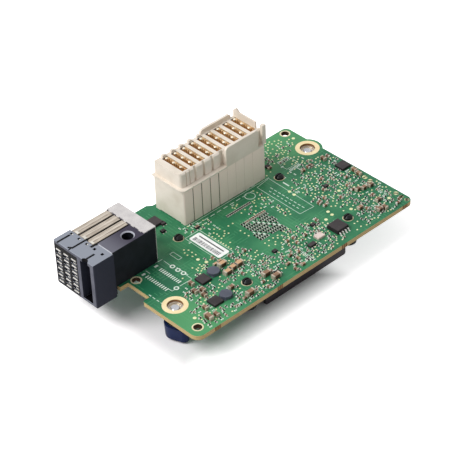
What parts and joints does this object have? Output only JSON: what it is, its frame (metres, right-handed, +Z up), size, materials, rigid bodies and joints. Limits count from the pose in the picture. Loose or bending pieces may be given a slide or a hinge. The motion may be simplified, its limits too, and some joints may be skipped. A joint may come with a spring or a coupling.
{
  "type": "mezzanine network card",
  "caption": "Small green server network card with a tall cream stacking connector, a dark right-angle edge connector, a black heat sink below and captive thumbscrews with blue knobs.",
  "frame": {"origin": "middle of the whole card's footprint, on the surface that the heat sink's fin tips stand on", "axes": "+X along the board's long edge away from the fabric connector, +Y towards the edge beside the stacking connector, +Z up through the component side"},
  "size_m": [0.1122, 0.063, 0.0358],
  "materials": {
    "board_mask": "satin green solder mask on tan laminate",
    "ferrule_steel": "plated steel",
    "screw_steel": "bright zinc plate",
    "spring_steel": "drawn wire",
    "chip_black": "matt moulding compound",
    "pad_grey": "soft gap filler",
    "sink_black": "black anodised",
    "nylon_black": "moulded nylon",
    "cream_plastic": "satin cream moulding",
    "contact_gold": "gold plate",
    "hood_plastic": "satin blue-grey moulding",
    "dark_plastic": "satin dark moulding",
    "plate_metal": "matt tin plate",
    "shield_metal": "brushed nickel plate",
    "contact_tin": "bright plate",
    "label_paper": "matt white paper",
    "ceramic_brown": "fired ceramic, tinned ends",
    "inductor_grey": "pressed powder",
    "crystal_metal": "plated lid",
    "knob_blue": "smooth navy moulding"
  },
  "bodies": {
    "card": {"circuit_board": "board_mask", "screw_ferrules": "ferrule_steel", "network_chip": "chip_black", "thermal_pad": "pad_grey", "heat_sink": "sink_black", "push_pins": "nylon_black", "push_pin_springs": "spring_steel", "stack_shroud": "cream_plastic", "stack_contacts": "contact_gold", "fabric_hood": "hood_plastic", "fabric_guide_block": "dark_plastic", "fabric_organiser": "plate_metal", "fabric_contacts": "contact_tin", "label": "label_paper", "flash_chip": "chip_black", "crystal_can": "crystal_metal", "regulator_chips": "chip_black", "power_inductors": "inductor_grey", "logic_chip": "chip_black", "controller_chip": "chip_black", "large_capacitors": "ceramic_brown", "medium_capacitors": "ceramic_brown", "small_capacitors": "ceramic_brown", "underside_capacitors": "ceramic_brown", "underside_driver": "chip_black", "stack_wafer_1": "cream_plastic", "stack_wafer_2": "cream_plastic", "stack_wafer_3": "cream_plastic", "stack_wafer_4": "cream_plastic", "stack_wafer_5": "cream_plastic", "stack_wafer_6": "cream_plastic", "stack_wafer_7": "cream_plastic", "stack_wafer_8": "cream_plastic", "stack_wafer_9": "cream_plastic", "fabric_wafer_1": "dark_plastic", "fabric_shield_1": "shield_metal", "fabric_wafer_2": "dark_plastic", "fabric_shield_2": "shield_metal", "fabric_wafer_3": "dark_plastic", "fabric_shield_3": "shield_metal", "near_screw_spring": "spring_steel", "far_screw_spring": "spring_steel"},
    "near_carrier": {"near_retaining_ring": "ferrule_steel"},
    "near_thumbscrew": {"near_captive_screw": "screw_steel", "near_knob": "knob_blue"},
    "far_carrier": {"far_retaining_ring": "ferrule_steel"},
    "far_thumbscrew": {"far_captive_screw": "screw_steel", "far_knob": "knob_blue"}
  },
  "joints": [
    {"name": "near_screw_push", "type": "slide", "parent": "card", "child": "near_carrier", "axis": [0, 0, 1], "range_m": [0, 0.0039], "stiffness_N_per_m": 300, "springref_m": -0.0035, "deforming": ["near_screw_spring"]},
    {"name": "near_screw_turn", "type": "hinge", "parent": "near_carrier", "child": "near_thumbscrew", "pos_m": [-0.03955, -0.0143, 0.0073], "axis": [0, 0, 1], "continuous": true},
    {"name": "far_screw_push", "type": "slide", "parent": "card", "child": "far_carrier", "axis": [0, 0, 1], "range_m": [0, 0.0039], "stiffness_N_per_m": 300, "springref_m": -0.0035, "deforming": ["far_screw_spring"]},
    {"name": "far_screw_turn", "type": "hinge", "parent": "far_carrier", "child": "far_thumbscrew", "pos_m": [0.0507, 0.0156, 0.0073], "axis": [0, 0, 1], "continuous": true}
  ]
}
